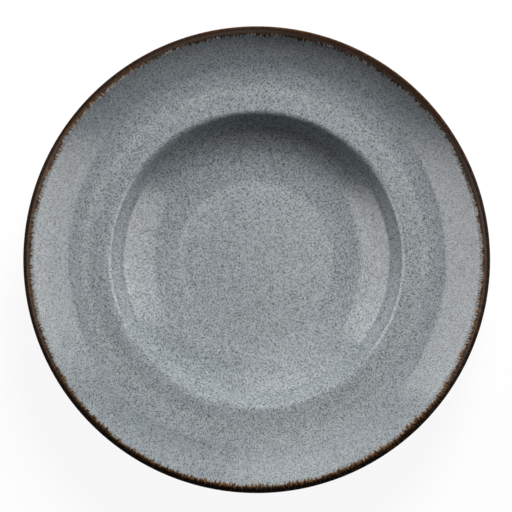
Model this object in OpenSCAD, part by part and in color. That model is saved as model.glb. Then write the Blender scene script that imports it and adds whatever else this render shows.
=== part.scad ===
// Wide-rimmed pasta plate in glazed stoneware.
// One pressed clay body carries four fired coats: the speckled glaze on the face, the brown band
// round the lip, the glaze on the underside and the glaze in the recess of the foot ring.
// The plate stands on its bare foot ring: +Z is up, z = 0 is the table, and Z is the axis that
// it was turned on. Its section is a path of [radius, height] points, and a heading is an angle
// from +radius. Lengths are in millimetres.

/* [Plate] */
// Overall diameter across the lip, over the glaze
plate_d = 270; // [256:1:300]
// Overall height from the table to the crest of the lip, over the glaze
plate_h = 46.5; // [43.5:0.5:50.5]
// Diameter of the well where its shoulder runs out into the flange
well_d = 175; // [167:1:190]
// Depth of the well, from the end of the shoulder down to the floor
well_depth = 21.5; // [19.5:0.5:24.5]

/* [Well] */
// Radius of the soft crease round the edge of the flat floor
floor_bend_r = 40; // [20:1:60]
// Slope in degrees at which that crease passes into the bowl
floor_bend_angle = 6; // [3:0.5:9]
// Radius of the bowl's gentle rise from the crease to the cove
bowl_r = 90; // [66:1:112]
// Slope in degrees at which the bowl passes into the cove
bowl_angle = 17.5; // [14:0.5:21]
// Radius of the cove below the wall
cove_r = 35; // [27:0.5:40]
// Slope in degrees at which the cove tightens into the heel of the wall
cove_angle = 45; // [40:0.5:50]
// Radius of the heel, between the cove and the straight wall
heel_r = 5; // [3:0.5:8]
// Slope in degrees of the straight wall, the steepest part of the face
wall_angle = 54; // [51:0.5:60]
// Radius of the shoulder that the wall rolls over into the flange
shoulder_r = 3.5; // [2:0.25:6]

/* [Flange] */
// Slope in degrees of the straight stretch of flange next to the shoulder
flange_angle = 2; // [0.5:0.5:6]
// Length of that straight stretch, before the flange curves up to the lip
flange_straight_l = 9; // [5:0.5:15]

/* [Lip] */
// Radius of the roll over the crest of the lip
lip_crest_r = 2; // [1.2:0.1:2.6]
// Width of the lip outside its crest, seen from above
lip_side_w = 3.4; // [2.6:0.1:4.4]
// Slope in degrees of the lip's outer side, which falls away from the crest
lip_side_angle = 48; // [40:1:62]
// Radius of the lip's lower edge, where the plate is widest
lip_edge_r = 1.1; // [0.6:0.1:1.8]

/* [Clay thickness] */
// Thickness of the floor inside the foot ring
floor_t = 5; // [4:0.1:6.5]
// Thickness of the well's wall and cove
wall_t = 4.6; // [3.6:0.1:5.6]
// Thickness of the flange at the shoulder
flange_t = 4.2; // [3.4:0.1:5.6]
// Radius of the inside corner under the shoulder
under_shoulder_r = 7; // [3:0.5:9]

/* [Foot ring] */
// Outer diameter of the foot ring at the table
foot_d = 114; // [90:1:126]
// Height of the recess inside the foot ring
foot_h = 5; // [3.5:0.1:7]
// Width of the foot ring at the table
foot_w = 4.2; // [3:0.1:7]
// Draft in degrees of both sides of the foot ring
foot_draft_angle = 12; // [4:0.5:20]
// Radius of the inside corners where the foot ring meets the clay above it
foot_root_r = 2; // [0.8:0.1:2.4]
// Radius of the ground edges of the foot ring
foot_edge_r = 0.7; // [0.3:0.1:1]
// Height above the table up to which the foot ring is wiped bare of glaze
bare_h = 1.3; // [1:0.1:1.6]

/* [Glaze] */
// Thickness of every coat of glaze
glaze_t = 0.4; // [0.2:0.05:0.6]
// How far the brown band runs in over the flange from the roll of the lip
band_face_w = 0.8; // [0.3:0.1:6]
// How far the brown band runs in under the flange from the lip's lower edge
band_under_w = 2.4; // [0.5:0.1:6]

/* [Hidden] */

// Longest chord on a gentle curve, and the most degrees that one chord may turn on a tight one
chord_l = 2;
chord_angle = 5;
// Facets of a turned surface in the preview
turned_facets = 180;
// Share of a straight that the rounded corners at its ends may use up
corner_share = 0.95;
// Share of the longest chord within which a path's next point would lie too near the last one
near_share = 0.2;

clay = "#cfc2ae";
speckled_grey = "#99a2a6";
iron_brown = "#2e1d13";

// Headings: the unit vector along one, and those to its left and right
function along(a) = [cos(a), sin(a)];
function left_of(a) = [-sin(a), cos(a)];
function right_of(a) = -left_of(a);

// An arc of radius r that leaves p along heading a0 and turns to heading a1
function turn_sign(a0, a1) = a1 > a0 ? 1 : -1;
function bend_centre(p, a0, a1, r) = p + turn_sign(a0, a1) * r * left_of(a0);
function bend_end(p, a0, a1, r) = bend_centre(p, a0, a1, r) - turn_sign(a0, a1) * r * left_of(a1);
function bend_chords(a0, a1, r) =
    ceil(max(abs(a1 - a0) / chord_angle, abs(a1 - a0) * PI / 180 * r / chord_l));
function bend(p, a0, a1, r) =
    let (c = bend_centre(p, a0, a1, r), n = bend_chords(a0, a1, r))
    [for (i = [0 : n]) c - turn_sign(a0, a1) * r * left_of(a0 + (a1 - a0) * i / n)];

// The same arc placed by the sharp corner v that it rounds off, how far it reaches from v, and
// the largest radius whose reach stays within a straight of length l
function corner_reach(a0, a1, r) = r * tan(abs(a1 - a0) / 2);
function corner(v, a0, a1, r) = bend(v - corner_reach(a0, a1, r) * along(a0), a0, a1, r);
function corner_limit(a0, a1, l) = corner_share * l / tan(abs(a1 - a0) / 2);

// An arc that leaves along heading a and spans the chord v: its last heading, and its radius
function slope_of(v) = atan2(v.y, v.x);
function chord_end_heading(v, a) = 2 * slope_of(v) - a;
function chord_bend_r(v, a) = norm(v) / (2 * sin(slope_of(v) - a));

// Where the line through p along heading a crosses the line through q along heading b
function meet(p, a, q, b) = p + cross(q - p, along(b)) / cross(along(a), along(b)) * along(a);

// Paths: the last point, all but the last point, and the path from end to start
function last_of(path) = path[len(path) - 1];
function without_last(path) = [for (i = [0 : len(path) - 2]) path[i]];
function reversed(path) = [for (i = [len(path) - 1 : -1 : 0]) path[i]];

// A path whose radius only grows, cut at radius r, and its slope over a step from there
function up_to(path, r) = concat([for (p = path) if (p.x < r) p], [[r, lookup(r, path)]]);
function beyond(path, r) = concat([[r, lookup(r, path)]], [for (p = path) if (p.x > r) p]);
function slope_at(path, r, step) = atan2(lookup(r + step, path) - lookup(r, path), step);

// A path moved d to its right: each point goes out along the mean of its two chords' normals
function chord_normal(path, i) = let (v = path[i + 1] - path[i]) [v.y, -v.x] / norm(v);
function moved_right(path, d) =
    let (last = len(path) - 1)
    [for (i = [0 : last])
        let (n0 = chord_normal(path, max(i - 1, 0)), n1 = chord_normal(path, min(i, last - 1)))
        path[i] + d * (n0 + n1) / (1 + n0 * n1)];

// Clay inside its glaze
body_r = plate_d / 2 - glaze_t;
body_top = plate_h - glaze_t;
floor_z = foot_h + floor_t;

// Face of the well, worked back from the end of the shoulder. What the bends leave over is the
// straight wall in height, and the flat floor in width.
shoulder_end = [well_d / 2, floor_z + well_depth];
shoulder_start = shoulder_end - bend_end([0, 0], wall_angle, flange_angle, shoulder_r);
floor_bend_size = bend_end([0, 0], 0, floor_bend_angle, floor_bend_r);
bowl_size = bend_end([0, 0], floor_bend_angle, bowl_angle, bowl_r);
cove_size = bend_end([0, 0], bowl_angle, cove_angle, cove_r);
heel_size = bend_end([0, 0], cove_angle, wall_angle, heel_r);
bends_size = floor_bend_size + bowl_size + cove_size + heel_size;
wall_l = (shoulder_start.y - floor_z - bends_size.y) / sin(wall_angle);
wall_start = shoulder_start - wall_l * along(wall_angle);
floor_edge = wall_start - bends_size;
bowl_start = floor_edge + floor_bend_size;
cove_start = bowl_start + bowl_size;
bowl_face = concat(
    [[0, floor_z]],
    without_last(bend(floor_edge, 0, floor_bend_angle, floor_bend_r)),
    without_last(bend(bowl_start, floor_bend_angle, bowl_angle, bowl_r)),
    without_last(bend(cove_start, bowl_angle, cove_angle, cove_r)),
    bend(cove_start + cove_size, cove_angle, wall_angle, heel_r)
);

// Lip: a roll over the crest, a straight side falling outwards and a small round at the edge.
// The side is as long as it takes to carry the edge out to the plate's diameter.
lip_heading = 180 - lip_side_angle;
crest_centre = [body_r - lip_side_w, body_top - lip_crest_r];
side_top = crest_centre + lip_crest_r * right_of(lip_heading);
edge_reach = lip_edge_r * (1 - right_of(lip_heading).x);
lip_side_l = (body_r - edge_reach - side_top.x) / cos(lip_side_angle);
side_bottom = side_top - lip_side_l * along(lip_heading);
edge_centre = side_bottom - lip_edge_r * right_of(lip_heading);

// Face of the flange: over the shoulder, then straight, then one arc that runs into the roll of
// the lip. That arc's chord is drawn on the path below it that ends at the roll's centre.
flange_bend = shoulder_end + flange_straight_l * along(flange_angle);
face_chord = crest_centre - (flange_bend + lip_crest_r * right_of(flange_angle));
face_bend_r = chord_bend_r(face_chord, flange_angle) - lip_crest_r;
face_end_angle = chord_end_heading(face_chord, flange_angle);
flange_face = concat(
    bend(shoulder_start, wall_angle, flange_angle, shoulder_r),
    bend(flange_bend, flange_angle, face_end_angle, face_bend_r)
);
face = concat(bowl_face, flange_face);

// Underside: the cove and wall keep the wall's thickness, the corner under the shoulder is
// rounded, and one arc runs out to the lip's lower edge, drawn on the path above it.
bowl_under = moved_right(bowl_face, wall_t);
wall_under_start = wall_start + wall_t * right_of(wall_angle);
under_bend = flange_bend + flange_t * right_of(flange_angle);
under_corner = meet(wall_under_start, wall_angle, under_bend, flange_angle);
under_corner_r = min(
    under_shoulder_r,
    corner_limit(wall_angle, flange_angle, norm(under_corner - wall_under_start)),
    corner_limit(wall_angle, flange_angle, norm(under_bend - under_corner))
);
under_chord = edge_centre - (under_bend + lip_edge_r * left_of(flange_angle));
under_bend_r = chord_bend_r(under_chord, flange_angle) + lip_edge_r;
under_end_angle = chord_end_heading(under_chord, flange_angle);
flange_under = concat(
    corner(under_corner, wall_angle, flange_angle, under_corner_r),
    bend(under_bend, flange_angle, under_end_angle, under_bend_r)
);
lip = concat(
    bend(last_of(flange_under), under_end_angle, lip_heading, lip_edge_r),
    bend(side_top, lip_heading, 180 + face_end_angle, lip_crest_r)
);

// Foot ring: both sides lean by the draft, so that it widens towards the clay above
foot_heading = 90 - foot_draft_angle;
foot_lean = tan(foot_draft_angle);
foot_outer = [foot_d / 2, 0];
foot_inner = foot_outer - [foot_w, 0];
recess_corner = foot_inner + foot_h * [-foot_lean, 1];
// The outer side runs up to the underside of the bowl, at a radius found in two steps
foot_root_guess = foot_outer.x + lookup(foot_outer.x, bowl_under) * foot_lean;
foot_root_x = foot_outer.x + lookup(foot_root_guess, bowl_under) * foot_lean;
foot_root = [foot_root_x, lookup(foot_root_x, bowl_under)];
foot_root_angle = slope_at(bowl_under, foot_root_x, foot_root_r);
foot_fillet = corner(foot_root, foot_heading, foot_root_angle, foot_root_r);

recess = concat([[0, foot_h]], corner(recess_corner, 0, -foot_heading, foot_root_r));
bare_foot = concat(
    [foot_inner + bare_h * [-foot_lean, 1]],
    corner(foot_inner, -foot_heading, 0, foot_edge_r),
    corner(foot_outer, 0, foot_heading, foot_edge_r)
);
underside = concat(
    [foot_outer + bare_h * [foot_lean, 1]],
    foot_fillet,
    [for (p = bowl_under) if (p.x > last_of(foot_fillet).x + near_share * chord_l) p],
    flange_under
);

// The brown band runs from under the flange, round the lip and in over the face
band_under_x = last_of(flange_under).x - band_under_w;
band_face_x = last_of(flange_face).x - band_face_w;
band = concat(
    without_last(beyond(flange_under, band_under_x)),
    without_last(lip),
    reversed(beyond(flange_face, band_face_x))
);

// The whole section, anticlockwise from the middle of the recess, in the stretches that the
// coats follow. Each stretch leaves its last point to the next one.
stretches = [
    recess,
    bare_foot,
    without_last(up_to(underside, band_under_x)),
    without_last(band),
    reversed(up_to(face, band_face_x))
];
recess_stretch = 0;
underside_stretch = 2;
band_stretch = 3;
face_stretch = 4;
outline = [for (s = stretches) for (p = s) p];
coated_outline = moved_right(outline, glaze_t);
function start_of(k) = k == 0 ? 0 : start_of(k - 1) + len(stretches[k - 1]);

module turned(section) {
    rotate_extrude($fn = turned_facets) polygon(section);
}

// One coat of glaze: the strip between the clay and the coated outline along stretch k
module coat(k) {
    first = start_of(k);
    last = min(start_of(k + 1), len(outline) - 1);
    turned(concat(
        [for (i = [first : last]) outline[i]],
        [for (i = [last : -1 : first]) coated_outline[i]]
    ));
}

module body() {
    color(clay) turned(outline);
}

module face_glaze() {
    color(speckled_grey) coat(face_stretch);
}

module rim_band() {
    color(iron_brown) coat(band_stretch);
}

module underside_glaze() {
    color(speckled_grey) coat(underside_stretch);
}

module foot_recess_glaze() {
    color(speckled_grey) coat(recess_stretch);
}

body();
face_glaze();
rim_band();
underside_glaze();
foot_recess_glaze();
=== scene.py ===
import math

import bpy
import numpy as np
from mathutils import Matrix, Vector, noise


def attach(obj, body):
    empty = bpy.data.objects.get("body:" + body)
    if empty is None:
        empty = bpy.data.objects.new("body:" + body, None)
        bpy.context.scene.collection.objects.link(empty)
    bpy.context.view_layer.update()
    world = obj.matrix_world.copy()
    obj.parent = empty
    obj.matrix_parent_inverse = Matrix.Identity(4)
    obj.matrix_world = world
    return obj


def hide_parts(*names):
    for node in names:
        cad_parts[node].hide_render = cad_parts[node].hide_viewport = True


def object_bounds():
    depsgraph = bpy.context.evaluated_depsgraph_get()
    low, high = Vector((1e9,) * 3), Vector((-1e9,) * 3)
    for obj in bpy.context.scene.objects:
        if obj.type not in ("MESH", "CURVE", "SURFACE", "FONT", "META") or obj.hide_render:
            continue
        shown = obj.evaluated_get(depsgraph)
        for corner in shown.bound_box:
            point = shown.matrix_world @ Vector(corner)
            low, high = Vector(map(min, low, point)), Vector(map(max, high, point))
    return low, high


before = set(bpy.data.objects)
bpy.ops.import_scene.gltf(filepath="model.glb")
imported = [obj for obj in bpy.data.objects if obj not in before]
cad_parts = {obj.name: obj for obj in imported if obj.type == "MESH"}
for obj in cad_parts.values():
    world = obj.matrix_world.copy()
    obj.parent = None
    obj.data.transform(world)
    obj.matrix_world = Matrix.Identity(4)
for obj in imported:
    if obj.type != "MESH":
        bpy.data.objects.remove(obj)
cadLow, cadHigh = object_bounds()
print("frame loaded")

mm = 0.001
widestReach = min(-cadLow.x, -cadLow.y, cadHigh.x, cadHigh.y)  # the lip's, which the glaze keeps within


# Turns a hex colour as seen on a screen into the linear numbers that a material takes.
def colour(hexCode):
    parts = [int(hexCode[i : i + 2], 16) / 255 for i in (1, 3, 5)]
    return [p / 12.92 if p <= 0.04045 else ((p + 0.055) / 1.055) ** 2.4 for p in parts] + [1]


# Adds a node with its settings. An input is a value, a socket, or a node whose first output is meant, and a
# colour ramp also takes its stops.
def addNode(tree, kind, inputs=None, stops=None, **settings):
    node = tree.nodes.new("ShaderNode" + kind)
    for name, value in settings.items():
        setattr(node, name, value)
    for name, value in (inputs or {}).items():
        if isinstance(value, bpy.types.Node):
            value = value.outputs[0]
        if isinstance(value, bpy.types.NodeSocket):
            tree.links.new(value, node.inputs[name])
        else:
            node.inputs[name].default_value = value
    if stops:
        elements = node.color_ramp.elements
        elements.remove(elements[-1])
        elements[0].position, elements[0].color = stops[0]
        for place, value in stops[1:]:
            elements.new(place).color = value
    return node


def newMaterial(name):
    material = bpy.data.materials.new(name)
    material.use_nodes = True
    material.node_tree.nodes.clear()
    return material, material.node_tree


# A node's points in the plane y = 0, in the order in which its mesh links them.
def sectionOf(nodeName):
    onPlane = 1e-7
    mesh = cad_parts[nodeName].data
    keyOf = {}
    for vertex in mesh.vertices:
        x, y, z = vertex.co
        if abs(y) < onPlane and x > -onPlane:
            keyOf[vertex.index] = (round(x, 7), round(z, 7))
    links = {key: set() for key in keyOf.values()}
    for edge in mesh.edges:
        a, b = edge.vertices
        if a in keyOf and b in keyOf and keyOf[a] != keyOf[b]:
            links[keyOf[a]].add(keyOf[b])
            links[keyOf[b]].add(keyOf[a])
    ends = sorted(key for key, near in links.items() if len(near) == 1)
    path = [ends[-1] if ends else min(links)]
    came = None
    while True:
        here = path[-1]
        onward = [key for key in sorted(links[here]) if key != came and key not in path[1:]]
        onward = [key for key in onward if key != path[0] or len(path) > 2]
        if not onward or onward[0] == path[0]:
            return path
        came = here
        path.append(onward[0])


def gapToPath(point, path):
    px, pz = point
    best = math.inf
    for (ax, az), (bx, bz) in zip(path, path[1:]):
        dx, dz = bx - ax, bz - az
        length = dx * dx + dz * dz
        t = 0 if length == 0 else max(0, min(1, ((px - ax) * dx + (pz - az) * dz) / length))
        best = min(best, math.hypot(px - ax - t * dx, pz - az - t * dz))
    return best


# The side of a coat that shows, from one end to the other, and the side on the clay, which follows on.
def coatSides(nodeName):
    touching = 2e-6
    path = sectionOf(nodeName)
    onClay = [gapToPath(point, clayPath) < touching for point in path]
    first = next(i for i in range(len(path)) if onClay[i - 1] and not onClay[i])
    path = path[first:] + path[:first]
    onClay = onClay[first:] + onClay[:first]
    shown = [point for point, hidden in zip(path, onClay) if not hidden]
    under = [point for point, hidden in zip(path, onClay) if hidden]
    return shown, under


# A smooth dense line through a path's points, as distances along it and places.
def smoothLine(path, steps=12):
    knots = np.array(path)
    chord = np.linalg.norm(np.diff(knots, axis=0), axis=1)
    along = np.diff(knots, axis=0) / chord[:, None]
    tangent = np.empty_like(knots)
    tangent[0], tangent[-1] = along[0], along[-1]
    before, after = chord[:-1, None], chord[1:, None]
    tangent[1:-1] = (along[:-1] * after + along[1:] * before) / (before + after)
    tangent /= np.linalg.norm(tangent, axis=1)[:, None]
    t = np.linspace(0, 1, steps, endpoint=False)[:, None]
    line = []
    for i, length in enumerate(chord):
        a, b, ta, tb = knots[i], knots[i + 1], tangent[i] * length, tangent[i + 1] * length
        line.append(
            (2 * t**3 - 3 * t**2 + 1) * a
            + (t**3 - 2 * t**2 + t) * ta
            + (3 * t**2 - 2 * t**3) * b
            + (t**3 - t**2) * tb
        )
    line = np.concatenate([*line, knots[-1:]])
    gone = np.concatenate([[0], np.cumsum(np.linalg.norm(np.diff(line, axis=0), axis=1))])
    return gone, line


# What a user would change on each coat: how fine its mesh is, how uneven it was thrown and dipped, which end
# was wiped bare by the foot, whether it runs on over the middle, and in how many strips its map lies.
coats = {
    "faceGlaze": {
        "node": "face_glaze",
        "slot": "speckled_glaze",
        "ringGap": 1.35 * mm,
        "azimuths": 420,
        "wave": 0.030 * mm,
        "waveSize": 16 * mm,
        "bareEnd": None,
        "overMiddle": True,
        "mapStrips": 0,
    },
    "rimBand": {
        "node": "rim_band",
        "slot": "iron_brown_glaze",
        "ringGap": 0.45 * mm,
        "azimuths": 1260,
        "wave": 0.030 * mm,
        "waveSize": 16 * mm,
        "bareEnd": None,
        "overMiddle": False,
        "mapStrips": 9,
    },
    "undersideGlaze": {
        "node": "underside_glaze",
        "slot": "speckled_glaze",
        "ringGap": 1.5 * mm,
        "azimuths": 420,
        "wave": 0.045 * mm,
        "waveSize": 18 * mm,
        "bareEnd": "inner",
        "overMiddle": False,
        "mapStrips": 0,
    },
    "footRecessGlaze": {
        "node": "foot_recess_glaze",
        "slot": "speckled_glaze",
        "ringGap": 1.5 * mm,
        "azimuths": 320,
        "wave": 0.040 * mm,
        "waveSize": 18 * mm,
        "bareEnd": "outer",
        "overMiddle": True,
        "mapStrips": 0,
    },
}
# The glaze's end by the foot, where it was wiped off: how far its line wanders, how far in that is felt, how
# wide and deep its rounded edge is, and where the close rings stand that draw it.
glazeEnd = {
    "wander": 0.35 * mm,
    "wanderSize": 9 * mm,
    "wanderFade": 2.5 * mm,
    "rounding": 0.5 * mm,
    "depth": 0.4 * mm,
    "depthKept": 0.97,  # the very edge keeps a little thickness, so that no face folds flat
    "rings": [n * mm for n in (0, 0.06, 0.14, 0.24, 0.36, 0.5, 0.75, 1.05)],
    "ringsClear": 0.6 * mm,
}
middleRing = 0.6 * mm  # the radius of the innermost ring of a coat that runs on over the middle
edgeCalm = 1.5 * mm  # the unevenness dies out this close to the lip's edge and top, to keep within the CAD

clayPath = sectionOf("body")


# How far a point of the surface stands off the CAD's, as a share of the coat's wave: a broad swell, and a
# finer and lower one on it.
def unevenness(point, size):
    finer, lower = 0.45, 0.35
    broad = noise.noise(point / size + Vector((3, 0, 0)))
    fine = noise.noise(point / (size * finer) + Vector((0, 3, 7)))
    return broad + lower * fine


# Where a coat's rings of points stand along its line: evenly, and close together by a bare end.
def ringsAlong(use, total):
    even = np.linspace(0, total, max(4, round(total / use["ringGap"]) + 1))
    close = np.array(glazeEnd["rings"])
    if use["bareEnd"] == "inner":
        close = total - close[::-1]
        return np.concatenate([even[even < close[0] - glazeEnd["ringsClear"]], close])
    if use["bareEnd"] == "outer":
        return np.concatenate([close, even[even > close[-1] + glazeEnd["ringsClear"]]])
    return even


# The directions square to a coat's line, away from the clay: its under side shows which way that is.
def outwards(use, line, under):
    step = np.gradient(line, axis=0)
    step /= np.linalg.norm(step, axis=1)[:, None]
    normal = np.stack([step[:, 1], -step[:, 0]], 1)
    end = -1 if use["bareEnd"] == "inner" else 0
    clayWay = np.array(under[-1 - end]) - line[end]
    return -normal if normal[end] @ clayWay > 0 else normal


# How far the glaze line wanders off its circle at each angle.
def wanderAt(use, endRadius, angles):
    if not use["bareEnd"]:
        return np.zeros(len(angles))
    finer, lower, inset = 2.7, 0.4, 0.25
    wander = []
    for angle in angles:
        spot = Vector((math.cos(angle), math.sin(angle), 0)) * (endRadius / glazeEnd["wanderSize"])
        wander.append(noise.noise(spot) + lower * noise.noise(spot * finer) - inset)
    return glazeEnd["wander"] * np.array(wander)


# The points of the side that shows, ring by ring.
def shownPoints(use, gone, line, normal, ringAt, angles):
    total = gone[-1]
    fromEnd = ringAt if use["bareEnd"] == "outer" else total - ringAt
    wander = wanderAt(use, line[0][0] if use["bareEnd"] == "outer" else line[-1][0], angles)
    points = []
    for place, inwards in zip(ringAt, fromEnd):
        shift = wander * math.exp(-inwards / glazeEnd["wanderFade"])
        moved = np.clip(place - shift if use["bareEnd"] == "outer" else place + shift, 0, total)
        sink = 0
        if use["bareEnd"]:
            roundness = 1 - min(1, inwards / glazeEnd["rounding"])
            sink = glazeEnd["depth"] * (1 - math.sqrt(1 - roundness**2)) * glazeEnd["depthKept"]
        radii, heights = [np.interp(moved, gone, line[:, axis]) for axis in (0, 1)]
        normalR, normalZ = [np.interp(moved, gone, normal[:, axis]) for axis in (0, 1)]
        for j, angle in enumerate(angles):
            c, s = math.cos(angle), math.sin(angle)
            point = Vector((radii[j] * c, radii[j] * s, heights[j]))
            lift = use["wave"] * unevenness(point, use["waveSize"]) - sink
            if lift > 0:
                room = min(widestReach - radii[j], cadHigh.z - heights[j])
                lift *= min(1, max(0, room / edgeCalm))
            radius = min(radii[j] + normalR[j] * lift, widestReach)
            points.append((radius * c, radius * s, heights[j] + normalZ[j] * lift))
    return points


# The map that the colours can be baked on. The side that shows fills a disc at even
# density, and the side on the clay and the ends are small rings in a corner. The narrow band is laid out as
# a stack of strips instead, with the same four parts side by side in each strip.
discPlaces = {
    "shown": (0.5, 0, 0.495),
    "axis": (0.92, 0, 0.002),
    "hidden": (0.92, 0.002, 0.07),
    "innerEnd": (0.92, 0.072, 0.074),
    "outerEnd": (0.92, 0.076, 0.078),
}
stripPlaces = {
    "shown": (0.02, 0.8),
    "hidden": (0.84, 0.94),
    "innerEnd": (0.955, 0.963),
    "outerEnd": (0.975, 0.983),
}
stripMargin = 0.004


def mapSpot(use, side, share, turn, strip):
    if use["mapStrips"]:
        low, high = stripPlaces[side]
        along = stripMargin + (1 - 2 * stripMargin) * (turn * use["mapStrips"] - strip)
        return along, (strip + low + (high - low) * share) / use["mapStrips"]
    middle, low, high = discPlaces[side]
    reach = low + (high - low) * share
    return middle + reach * math.cos(turn * 2 * math.pi), middle + reach * math.sin(turn * 2 * math.pi)


# Rows of faces from ring to ring, and their places on the map. The last row closes the coat's butt end. Over
# the middle each side closes in a fan, round a point that follows the rings.
def coatFaces(use, shownRings, rings, spread):
    azimuths = use["azimuths"]
    topMiddle = rings * azimuths
    faces = []
    spots = []

    def addFace(corners, side, shares, j):
        strip = j * use["mapStrips"] // azimuths
        face = []
        for (ring, step), share in zip(corners, shares):
            face.append(ring if step is None else ring * azimuths + step % azimuths)
            turn = (j + 0.5 if step is None else step) / azimuths
            spots.append(mapSpot(use, side, share, turn, strip))
        faces.append(face)

    for i in range(rings):
        after = (i + 1) % rings
        if i < shownRings - 1:
            side, here, there = "shown", spread[i], spread[i + 1]
        elif i == shownRings - 1:
            side, here, there = "innerEnd", 0, 1
        elif i < rings - 1:
            side = "hidden"
            here, there = [(n - shownRings) / (rings - shownRings - 1) for n in (i, i + 1)]
        else:
            side, here, there = "outerEnd", 0, 1
        for j in range(azimuths):
            if use["overMiddle"] and i == shownRings - 1:
                addFace([(i, j), (i, j + 1), (topMiddle, None)], "shown", [spread[i], spread[i], 0], j)
                addFace([(after, j + 1), (after, j), (topMiddle + 1, None)], "axis", [1, 1, 0], j)
            else:
                corners = [(i, j), (i, j + 1), (after, j + 1), (after, j)]
                addFace(corners, side, [here, here, there, there], j)
    return faces, spots


# Turns every face outwards: the solid's volume is below zero if they all point in.
def fixNormals(mesh):
    if sum(face.center.dot(face.normal) * face.area for face in mesh.polygons) < 0:
        mesh.flip_normals()


# Smooth everywhere but along the ends of the coat, so that the glaze runs on over a butt joint.
def markSharp(mesh, azimuths, shownRings, rings):
    mesh.shade_smooth()
    ends = {0, shownRings - 1, shownRings, rings - 1}
    sharp = mesh.attributes.new("sharp_edge", "BOOLEAN", "EDGE")
    values = []
    for edge in mesh.edges:
        a, b = edge.vertices
        values.append(a // azimuths == b // azimuths and a // azimuths in ends)
    sharp.data.foreach_set("value", values)


def makeCoat(name):
    use = coats[name]
    shown, under = coatSides(use["node"])
    if use["overMiddle"]:
        shown = shown + [(middleRing, shown[-1][1])]
        under = [(middleRing, under[0][1])] + under
    gone, line = smoothLine(shown)
    # A line that starts at the foot is turned round, so that its bare end comes last.
    if use["bareEnd"] == "inner" and line[0][0] < line[-1][0]:
        line = line[::-1]
        gone = gone[-1] - gone[::-1]
        under = under[::-1]
    ringAt = ringsAlong(use, gone[-1])
    angles = np.arange(use["azimuths"]) * 2 * math.pi / use["azimuths"]
    vertices = shownPoints(use, gone, line, outwards(use, line, under), ringAt, angles)
    lastHeight = vertices[-len(angles)][2]
    for radius, height in under:
        vertices += [(radius * math.cos(angle), radius * math.sin(angle), height) for angle in angles]
    if use["overMiddle"]:
        vertices += [(0, 0, lastHeight), (0, 0, under[0][1])]
    # On the map the distance to the middle follows the distance along the surface.
    reach = line[-1][0] + gone[-1]
    rings = len(ringAt) + len(under)
    faces, spots = coatFaces(use, len(ringAt), rings, (reach - ringAt) / reach)
    mesh = bpy.data.meshes.new(name)
    mesh.from_pydata(vertices, [], faces)
    layer = mesh.uv_layers.new(name="OFBake")
    layer.uv.foreach_set("vector", np.array(spots, np.float32).ravel())
    piece = bpy.data.objects.new(name, mesh)
    bpy.context.scene.collection.objects.link(piece)
    fixNormals(mesh)
    markSharp(mesh, use["azimuths"], len(ringAt), rings)
    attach(piece, "root")
    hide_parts(use["node"])
    return piece


pieces = {name: makeCoat(name) for name in coats}
print("coats of glaze made")

# What a user would change on the glazes and the clay. Sizes and radii are in millimetres on the plate. A zone
# is where on the radius a change starts and ends, and a pair for a noise is where on its range.
speckledLook = {
    "light": "#a0a8ac",
    "middle": "#8e9599",
    "dark": "#444749",
    "speck": "#181a1c",
    "darkShare": 0.25,
    "middleShare": 0.26,
    "grainSize": 0.4,
    "speckGap": 0.82,
    "speckShare": 0.32,
    "speckReach": (0.2, 0.37),  # a speck's radius as a share of the gap, for the smallest and the largest
    "speckEdge": 0.06,
    "speckDepth": 0.8,
    "mottleSize": 6,
    "mottleNoise": (0.3, 0.7),
    "mottle": 0.05,
    "wellPaler": 1.1,
    "wellZone": (50, 95),
    # painted light on the steep wall of the well
    "wallPaintedLight": 1.1,
    "wallZone": (75, 79, 84, 87.5),
    "rimDarker": 0.96,
    "rimDarkerZone": (100, 120),
    "rimFainter": 0.2,
    "rimFainterZone": (100, 116),
    "roughness": 0.11,
    "ior": 1.5,
}
brownLook = {
    "thin": "#765632",
    "brown": "#4c341c",
    "deep": "#301e12",
    "solid": "#20150d",
    "toneStops": {"thin": 0, "brown": 0.28, "deep": 0.6, "solid": 1},
    # the colour of the painted light on the lip's edge, on the side nearest the key lamp
    "edgePaintedLight": "#623f28",
    "edgeZone": (133.3, 134.6),
    "edgeNoise": (0.42, 0.6),
    "edgeShares": (0.1, 0.85),
    "farFromLampHeading": 280,  # the side far from the key lamp, whose streaks get painted light, in degrees from the right
    "farFromLampFrom": 0.2,
    "nearLampHeading": 62,  # the side nearest the key lamp, where its edge gets painted light and its tips painted shade
    "nearLampFrom": 0.3,
    "start": 130.6,
    "startsEarlier": 0.45,  # on the side nearest the key lamp
    # painted shade on the bristle tips, on the side nearest the key lamp
    "tipsPaintedShade": 0.45,
    "wander": 2.8,
    "wavesPerMm": 0.07,
    "bristle": 1.8,
    "bristleNoise": (0.42, 0.68),
    "bristleEdge": 0.3,
    "lipRadius": 130,
    "streakSize": 0.8,
    "streakStretch": 3,
    "streakNoise": (0.46, 0.6),
    "streakBySide": (0.52, 0.9),  # how much the streaks lighten the tone elsewhere and on the side far from the key lamp, where the extra is painted light
    "streakByDepth": (0.6, 0.85),  # and where the glaze starts and where it is full
    "fade": 2.2,
    "roughness": 0.26,
    "ior": 1.25,  # below a glaze's usual 1.5, because the photograph's lip mirrors hardly anything
}
skinLook = {"bumpsPerMm": 0.9, "height": 0.02 * mm, "strength": 0.35, "bandHeight": 0.6}
clayLook = {
    "ground": "#cfc2ae",
    "dark": "#a8977e",
    "speck": "#5f5142",
    "patchesPerMm": 0.12,
    "patchNoise": (0.3, 0.7),
    "specksPerMm": 0.7,
    "speckReach": (0.1, 0.16),
    "speckDepth": 0.8,
    "grainSize": 0.5,
    "grainHeight": 0.08 * mm,
    "grainStrength": 0.6,
    "roughness": 0.85,
    "ior": 1.5,
}


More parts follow.
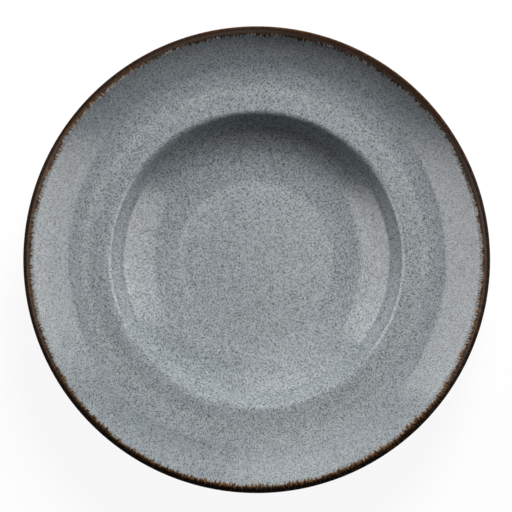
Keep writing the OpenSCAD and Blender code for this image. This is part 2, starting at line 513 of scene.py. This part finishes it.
# Places for patterns in millimetres, the radius, and a place on a circle that stands for the way out.
def patternPlaces(tree):
    where = addNode(tree, "TexCoord").outputs["Object"]
    point = addNode(tree, "VectorMath", {0: where, "Scale": 1 / mm}, operation="SCALE")
    flat = addNode(tree, "VectorMath", {0: point, 1: (1, 1, 0)}, operation="MULTIPLY")
    radius = addNode(tree, "VectorMath", {0: flat}, operation="LENGTH").outputs["Value"]
    way = addNode(tree, "VectorMath", {0: flat}, operation="NORMALIZE")
    return point, radius, way


# The speckled ground: a grain of three tones, dark specks over it and slow changes of depth.
def speckledColour(tree, point, radius):
    look = speckledLook
    grain = addNode(tree, "TexVoronoi", {"Vector": point, "Scale": 1 / look["grainSize"]})
    pick = addNode(tree, "SeparateColor", {0: grain.outputs["Color"]})
    low = look["darkShare"]
    high = low + look["middleShare"]
    # The grain's cells fall into three tones, with soft borders between them.
    dark, middle, light = colour(look["dark"]), colour(look["middle"]), colour(look["light"])
    stops = [(0, dark), (low - 0.05, dark), (low + 0.05, middle), (high - 0.1, middle), (high + 0.1, light)]
    body = addNode(tree, "ValToRGB", {0: pick}, stops)
    # Only some cells of the wider net hold a speck, and those with the highest numbers the largest.
    cells = addNode(tree, "TexVoronoi", {"Vector": point, "Scale": 1 / look["speckGap"]})
    chance = addNode(tree, "SeparateColor", {0: cells.outputs["Color"]}).outputs[1]
    least = 1 - look["speckShare"]
    smallest, largest = look["speckReach"]
    chosen = addNode(tree, "Math", {0: chance, 1: least}, operation="GREATER_THAN")
    reach = addNode(tree, "MapRange", {0: chance, 1: least, 3: smallest, 4: largest})
    reach = addNode(tree, "Math", {0: reach, 1: chosen}, operation="MULTIPLY")
    inside = addNode(tree, "Math", {0: reach, 1: cells.outputs["Distance"]}, operation="SUBTRACT")
    inSpeck = addNode(tree, "MapRange", {0: inside, 2: look["speckEdge"], 4: look["speckDepth"]})
    body = addNode(tree, "Mix", {0: inSpeck, 6: body, 7: colour(look["speck"])}, data_type="RGBA").outputs[2]
    # The speckle is fainter towards the lip, where the glaze ran thin.
    start, end = look["rimFainterZone"]
    fainter = addNode(tree, "MapRange", {0: radius, 1: start, 2: end, 4: look["rimFainter"]})
    body = addNode(tree, "Mix", {0: fainter, 6: body, 7: middle}, data_type="RGBA").outputs[2]
    cloud = addNode(tree, "TexNoise", {"Vector": point, "Scale": 1 / look["mottleSize"], "Detail": 2})
    start, end = look["mottleNoise"]
    mottled = {0: cloud, 1: start, 2: end, 3: 1 - look["mottle"], 4: 1 + look["mottle"]}
    # The glaze is paler in the well and darker towards the lip. On the steep wall it is paler once more:
    # painted light, where the lamps alone leave the wall too dark.
    start, end = look["wellZone"]
    inWell = addNode(tree, "MapRange", {0: radius, 1: start, 2: end, 3: look["wellPaler"], 4: 1})
    start, end = look["rimDarkerZone"]
    nearRim = {0: radius, 1: start, 2: end, 3: 1, 4: look["rimDarker"]}
    wallFoot = addNode(tree, "MapRange", {0: radius, 1: look["wallZone"][0], 2: look["wallZone"][1]})
    wallTop = addNode(tree, "MapRange", {0: radius, 1: look["wallZone"][2], 2: look["wallZone"][3]})
    onWall = addNode(tree, "Math", {0: wallFoot, 1: wallTop}, operation="SUBTRACT")
    shade = addNode(tree, "MapRange", mottled)
    for part in (
        inWell,
        addNode(tree, "MapRange", nearRim, interpolation_type="SMOOTHSTEP"),
        addNode(tree, "MapRange", {0: onWall, 3: 1, 4: look["wallPaintedLight"]}),
    ):
        shade = addNode(tree, "Math", {0: shade, 1: part}, operation="MULTIPLY")
    shaded = addNode(tree, "Mix", {0: 1, 6: body, 7: shade}, data_type="RGBA", blend_type="MULTIPLY")
    return shaded.outputs[2]


# The share of a surface that faces a heading, from the way out: 0 up to fromShare, 1 towards the heading.
def facing(tree, way, heading, fromShare):
    aim = (math.cos(math.radians(heading)), math.sin(math.radians(heading)), 0)
    along = addNode(tree, "VectorMath", {0: way, 1: aim}, operation="DOT_PRODUCT").outputs["Value"]
    return addNode(tree, "MapRange", {0: along, 1: fromShare}, interpolation_type="SMOOTHSTEP")


# The iron glaze over the ground: it starts in short bristles near the lip, thin and tan at their tips, with
# painted shade on them on the side nearest the key lamp, and is streaked across the band, with painted light
# on the far side. Also returns how deep it lies, from 0 to 1.
def brownOver(tree, radius, way, ground):
    look = brownLook
    # The sides of the band far from the key lamp and nearest it, which carry painted light and painted shade.
    sideFarFromLamp = facing(tree, way, look["farFromLampHeading"], look["farFromLampFrom"])
    sideNearLamp = facing(tree, way, look["nearLampHeading"], look["nearLampFrom"])
    # Streaks are stretched across the band: their pattern lies round a circle and rises slowly outwards.
    around = addNode(tree, "VectorMath", {0: way, "Scale": look["lipRadius"]}, operation="SCALE")
    outwardly = addNode(tree, "Math", {0: radius, 1: look["streakStretch"]}, operation="DIVIDE")
    rise = addNode(tree, "CombineXYZ", {2: outwardly})
    place = addNode(tree, "VectorMath", {0: around, 1: rise}, operation="ADD")
    fine = {"Vector": place, "Scale": 1 / look["streakSize"], "Detail": 1}
    bristle = addNode(tree, "TexNoise", fine)
    streak = addNode(tree, "TexNoise", {**fine, "W": 7}, noise_dimensions="4D")
    slow = addNode(tree, "TexNoise", {"Vector": around, "Scale": look["wavesPerMm"], "Detail": 2})
    # How far past the glaze's ragged start a point is, in millimetres.
    gone = addNode(tree, "Math", {0: radius, 1: look["start"]}, operation="SUBTRACT")
    least, most = look["bristleNoise"]
    for part in (
        addNode(tree, "MapRange", {0: bristle, 1: least, 2: most, 4: look["bristle"]}),
        addNode(tree, "MapRange", {0: slow, 3: -look["wander"] / 2, 4: look["wander"] / 2}),
        addNode(tree, "Math", {0: sideNearLamp, 1: look["startsEarlier"]}, operation="MULTIPLY"),
    ):
        gone = addNode(tree, "Math", {0: gone, 1: part}, operation="ADD")
    # The streaks lighten the tone most deep in the band, and more on the side far from the key lamp, a
    # painted light where the lip's inner slope faces the lamp.
    depth = addNode(tree, "Math", {0: gone, 1: look["fade"]}, operation="DIVIDE", use_clamp=True)
    least, most = look["streakNoise"]
    lighter = addNode(tree, "MapRange", {0: streak, 1: least, 2: most})
    for cause, (least, most) in ((sideFarFromLamp, look["streakBySide"]), (depth, look["streakByDepth"])):
        share = addNode(tree, "MapRange", {0: cause, 3: least, 4: most})
        lighter = addNode(tree, "Math", {0: lighter, 1: share}, operation="MULTIPLY")
    tone = addNode(tree, "Math", {0: depth, 1: lighter}, operation="SUBTRACT")
    # On the side nearest the key lamp the tips are darkened: painted shade, where the lip's inner slope faces
    # away from the lamp.
    tone = addNode(tree, "Math", {0: sideNearLamp, 1: look["tipsPaintedShade"], 2: tone}, operation="MULTIPLY_ADD")
    stops = [(at, colour(look[name])) for name, at in look["toneStops"].items()]
    brown = addNode(tree, "ValToRGB", {0: tone}, stops)
    # The lip's very edge is redder on the side nearest the key lamp, in the same streaks: painted light,
    # where the outer edge faces the lamp.
    start, end = look["edgeZone"]
    edgeLightShare = addNode(tree, "MapRange", {0: radius, 1: start, 2: end})
    ranges = dict(enumerate((*look["edgeNoise"], *look["edgeShares"]), 1))
    for share in (sideNearLamp, addNode(tree, "MapRange", {0: streak, **ranges})):
        edgeLightShare = addNode(tree, "Math", {0: edgeLightShare, 1: share}, operation="MULTIPLY")
    edgePaintedLight = colour(look["edgePaintedLight"])
    brown = addNode(tree, "Mix", {0: edgeLightShare, 6: brown, 7: edgePaintedLight}, data_type="RGBA").outputs[2]
    covered = addNode(tree, "MapRange", {0: gone, 2: look["bristleEdge"]})
    return addNode(tree, "Mix", {0: covered, 6: ground, 7: brown}, data_type="RGBA").outputs[2], depth


def makeGlaze(name, look):
    material, tree = newMaterial(name)
    point, radius, way = patternPlaces(tree)
    base, depth = brownOver(tree, radius, way, speckledColour(tree, point, radius))
    # Fired glaze is faintly orange-peeled, and the brown coat stands a little proud of the other.
    skin = addNode(tree, "TexNoise", {"Vector": point, "Scale": skinLook["bumpsPerMm"], "Detail": 2})
    height = addNode(tree, "Math", {0: depth, 1: skinLook["bandHeight"], 2: skin}, operation="MULTIPLY_ADD")
    bumps = {"Strength": skinLook["strength"], "Distance": skinLook["height"], "Height": height}
    inputs = {
        "Base Color": base,
        "Roughness": look["roughness"],
        "IOR": look["ior"],
        "Normal": addNode(tree, "Bump", bumps),
    }
    addNode(tree, "OutputMaterial", {"Surface": addNode(tree, "BsdfPrincipled", inputs)})
    return material


def makeClay(name, look):
    material, tree = newMaterial(name)
    point = patternPlaces(tree)[0]
    patches = addNode(tree, "TexNoise", {"Vector": point, "Scale": look["patchesPerMm"], "Detail": 4})
    grain = addNode(tree, "TexNoise", {"Vector": point, "Scale": 1 / look["grainSize"], "Detail": 3})
    specks = addNode(tree, "TexVoronoi", {"Vector": point, "Scale": look["specksPerMm"]})
    least, most = look["patchNoise"]
    darker = addNode(tree, "MapRange", {0: patches, 1: least, 2: most})
    tones = {0: darker, 6: colour(look["ground"]), 7: colour(look["dark"])}
    tone = addNode(tree, "Mix", tones, data_type="RGBA").outputs[2]
    inner, outer = look["speckReach"]
    fading = {0: specks.outputs["Distance"], 1: inner, 2: outer, 3: look["speckDepth"], 4: 0}
    inSpeck = addNode(tree, "MapRange", fading)
    tone = addNode(tree, "Mix", {0: inSpeck, 6: tone, 7: colour(look["speck"])}, data_type="RGBA").outputs[2]
    bumps = {"Strength": look["grainStrength"], "Distance": look["grainHeight"], "Height": grain}
    inputs = {
        "Base Color": tone,
        "Roughness": look["roughness"],
        "IOR": look["ior"],
        "Normal": addNode(tree, "Bump", bumps),
    }
    addNode(tree, "OutputMaterial", {"Surface": addNode(tree, "BsdfPrincipled", inputs)})
    return material


# Stoneware glaze, dipped and fired glossy: pale sharp reflections of the soft boxes over a speckled ground.
speckled = makeGlaze("speckled stoneware glaze", speckledLook)
# Iron glaze, brushed on the lip and fired satin: it mirrors little, is nearly black where it is thick, and
# tan where it breaks over the ground.
brown = makeGlaze("iron-brown glaze", brownLook)
# Bare fired stoneware, turned and wiped on the foot: dry, buff and slightly sandy, with no shine.
clay = makeClay("dry buff stoneware", clayLook)
for name, piece in pieces.items():
    piece.data.materials.append(brown if name == "rimBand" else speckled)
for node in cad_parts.values():
    node.data.materials.clear()
    node.data.materials.append(clay)
print("materials made")

studio = {
    "lens": 180,
    "sensor": 36,
    "viewWidth": 296.02 * mm,
    "cameraPlace": (-0.4 * mm, 2.14 * mm),
    "ambient": 0.004,
}
floorLook = {
    "size": 6,
    "height": -0.2 * mm,  # clear of the foot, so that the two never share a plane
    "real": "#e6e6e6",
    "shadowed": "#585858",
    "glow": 0.918,
    "mirrored": 0.08,
}
lamps = {
    "key": {"level": 0.76, "elevation": 42.5, "heading": 77, "distance": 1.5, "radius": 0.33},
    "windowFill": {"level": 0.03, "elevation": 28, "heading": 105, "distance": 1.4, "radius": 0.25},
    "rightFill": {"level": 0.044, "elevation": 9, "heading": 9, "distance": 1.3, "radius": 0.2},
    "leftFill": {"level": 0.041, "elevation": 9, "heading": 156, "distance": 1.3, "radius": 0.2},
}
# The soft boxes, windows and walls that the glaze mirrors. Each is turned to its heading, and its bottom and
# top edges have a distance out, a height and two ends. Its level goes from the first at the bottom to the
# second at the top, and its first side, second side, bottom and top fade over the shares of softEdges.
panels = {
    "rightBox": {
        "heading": 0,
        "bottom": (0.642, 0.075, -0.53, 0.5),
        "top": (0.38, 0.97, -0.42, 0.44),
        "levels": (3.9, 2.6),
        "softEdges": (0.28, 0.38, 0.1, 0.1),
    },
    "leftBox": {
        "heading": 180,
        "bottom": (0.642, 0.075, -0.57, 0.54),
        "top": (0.38, 0.97, -0.40, 0.43),
        "levels": (3.7, 3.4),
        "softEdges": (0.1, 0.34, 0.1, 0.13),
    },
    "farWindow": {
        "heading": 98,
        "bottom": (1.0, 0.1, -0.32, 1.2),
        "top": (0.10, 1.2, -0.035, 0.12),
        "levels": (2.0, 2.3),
        "softEdges": (0.15, 0.7, 0.1, 0.1),
    },
    "nearStrip": {
        "heading": 278,
        "bottom": (0.06, 0.95, -0.02, 0.02),
        "top": (0.11, 0.95, -0.035, 0.035),
        "levels": (2.4, 2.4),
        "softEdges": (0.3, 0.3, 0.3, 0.3),
    },
    "overhead": {
        "heading": 0,
        "bottom": (-0.08, 1.0, -0.085, 0.085),
        "top": (0.12, 1.0, -0.085, 0.085),
        "levels": (1.3, 3.1),
        "softEdges": (0.3, 0.3, 0.3, 0.3),
    },
    "ceiling": {
        "heading": 90,
        "bottom": (-0.9, 1.35, -0.7, 0.7),
        "top": (0.66, 1.35, -0.7, 0.7),
        "levels": (0.3, 1.5),
        "softEdges": (0.2, 0.2, 0.2, 0.1),
    },
    "backWall": {
        "heading": 90,
        "bottom": (1.7, 0.15, -2.2, 2.2),
        "top": (1.5, 1.4, -2.0, 2.0),
        "levels": (0.45, 0.45),
        "softEdges": (0.1, 0.1, 0.1, 0.1),
    },
    "nearWall": {
        "heading": 270,
        "bottom": (1.5, 0.15, -1.5, 1.5),
        "top": (1.2, 1.2, -1.3, 1.3),
        "levels": (0.1, 0.4),
        "softEdges": (0.3, 0.3, 0.3, 0.1),
    },
}
panelTint = "#fffbf9"
panelSteps = 12  # faces along each side of a panel, so that its fades run straight on a tapered one

camera = bpy.data.objects.new("camera", bpy.data.cameras.new("camera"))
camera.data.lens = studio["lens"]
camera.data.sensor_width = studio["sensor"]
# The picture's width is that of the level at which the plate is widest.
widest = max(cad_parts["rim_band"].data.vertices, key=lambda vertex: vertex.co.xy.length)
cameraHeight = widest.co.z + studio["viewWidth"] * studio["lens"] / studio["sensor"]
camera.location = (*studio["cameraPlace"], cameraHeight)
bpy.context.scene.collection.objects.link(camera)
bpy.context.scene.camera = camera


def addMesh(name, vertices, faces):
    mesh = bpy.data.meshes.new(name)
    mesh.from_pydata(vertices, [], faces)
    thing = bpy.data.objects.new(name, mesh)
    bpy.context.scene.collection.objects.link(thing)
    return thing


# A soft round lamp that lights surfaces but leaves no reflection. Its level is what it adds to a level
# surface, where 1 shows a white surface as white.
def addLamp(name, use):
    rise, heading = math.radians(use["elevation"]), math.radians(use["heading"])
    radius, distance = use["radius"], use["distance"]
    radiance = use["level"] * distance**2 / (radius**2 * math.sin(rise))
    lamp = bpy.data.lights.new(name, "AREA")
    lamp.shape = "DISK"
    lamp.size = 2 * radius
    lamp.energy = radiance * math.pi * math.pi * radius**2
    holder = bpy.data.objects.new(name, lamp)
    out = distance * math.cos(rise)
    holder.location = (out * math.cos(heading), out * math.sin(heading), distance * math.sin(rise))
    holder.rotation_euler = (rise - math.pi / 2, 0, heading - math.pi / 2)
    holder.visible_glossy = False
    bpy.context.scene.collection.objects.link(holder)


# A panel's corner, from its distance out, its height and how far it is to the side.
def panelCorner(heading, distance, height, aside):
    c, s = math.cos(math.radians(heading)), math.sin(math.radians(heading))
    return Vector((distance * c - aside * s, distance * s + aside * c, height))


# A panel that only reflections see. Where it fades, what is behind it shows.
def addPanel(name, use):
    ends = []
    for edge in ("bottom", "top"):
        distance, height, *asides = use[edge]
        ends += [panelCorner(use["heading"], distance, height, aside) for aside in asides]
    lowStart, lowEnd, highStart, highEnd = ends
    vertices = []
    spots = []
    faces = []
    for j in range(panelSteps + 1):
        for i in range(panelSteps + 1):
            u, v = i / panelSteps, j / panelSteps
            spots.append((u, v))
            vertices.append(lowStart.lerp(lowEnd, u).lerp(highStart.lerp(highEnd, u), v))
            if i and j:
                last = len(spots) - 1
                below = last - panelSteps - 1
                faces.append((below - 1, below, last, last - 1))
    panel = addMesh(name, vertices, faces)
    layer = panel.data.uv_layers.new(name="across")
    for loop in panel.data.loops:
        layer.uv[loop.index].vector = spots[loop.vertex_index]
    material, tree = newMaterial(name + " light")
    split = addNode(tree, "SeparateXYZ", {0: addNode(tree, "TexCoord").outputs["UV"]})
    level = addNode(tree, "MapRange", {0: split.outputs[1], 3: use["levels"][0], 4: use["levels"][1]})
    solid = 1
    for i, fade in enumerate(use["softEdges"]):
        inwards = split.outputs[i // 2]
        if i % 2:
            inwards = addNode(tree, "Math", {0: 1, 1: inwards}, operation="SUBTRACT")
        soft = addNode(tree, "MapRange", {0: inwards, 2: fade}, interpolation_type="SMOOTHSTEP")
        solid = addNode(tree, "Math", {0: solid, 1: soft}, operation="MULTIPLY")
    shine = addNode(tree, "Emission", {"Color": colour(panelTint), "Strength": level})
    clear = addNode(tree, "BsdfTransparent")
    both = addNode(tree, "MixShader", {0: solid, 1: clear, 2: shine})
    addNode(tree, "OutputMaterial", {"Surface": both})
    panel.data.materials.append(material)
    panel.visible_camera = panel.visible_diffuse = panel.visible_shadow = False


# A pale floor. The camera sees it nearly white, with the plate's shadow on it, and the glaze mirrors a dim
# one, because the lip is dark in the photograph.
def addFloor():
    reach = floorLook["size"] / 2
    corners = [(x * reach, y * reach, floorLook["height"]) for x, y in ((-1, -1), (1, -1), (1, 1), (-1, 1))]
    floor = addMesh("floor", corners, [(0, 1, 2, 3)])
    material, tree = newMaterial("pale studio floor")
    ray = addNode(tree, "LightPath").outputs
    real = addNode(tree, "BsdfDiffuse", {"Color": colour(floorLook["real"])})
    mirrored = addNode(tree, "Emission", {"Strength": floorLook["mirrored"]})
    shadowed = addNode(tree, "BsdfDiffuse", {"Color": colour(floorLook["shadowed"])})
    glow = addNode(tree, "Emission", {"Strength": floorLook["glow"]})
    seen = addNode(tree, "AddShader", {0: shadowed, 1: glow})
    other = addNode(tree, "MixShader", {0: ray["Is Glossy Ray"], 1: real, 2: mirrored})
    both = addNode(tree, "MixShader", {0: ray["Is Camera Ray"], 1: other, 2: seen})
    addNode(tree, "OutputMaterial", {"Surface": both})
    floor.data.materials.append(material)


for name, use in lamps.items():
    addLamp(name, use)
addFloor()
for name, use in panels.items():
    addPanel(name, use)

world = bpy.data.worlds.new("studio")
bpy.context.scene.world = world
world.use_nodes = True
world.node_tree.nodes.clear()
# The camera sees white behind the floor, and the plate gets only a trace of light from all round.
seenByCamera = addNode(world.node_tree, "LightPath").outputs["Is Camera Ray"]
level = addNode(world.node_tree, "MapRange", {0: seenByCamera, 3: studio["ambient"], 4: 1})
back = addNode(world.node_tree, "Background", {"Color": (1, 1, 1, 1), "Strength": level})
addNode(world.node_tree, "OutputWorld", {"Surface": back})
bpy.context.scene.view_settings.view_transform = "Standard"
print("studio made")
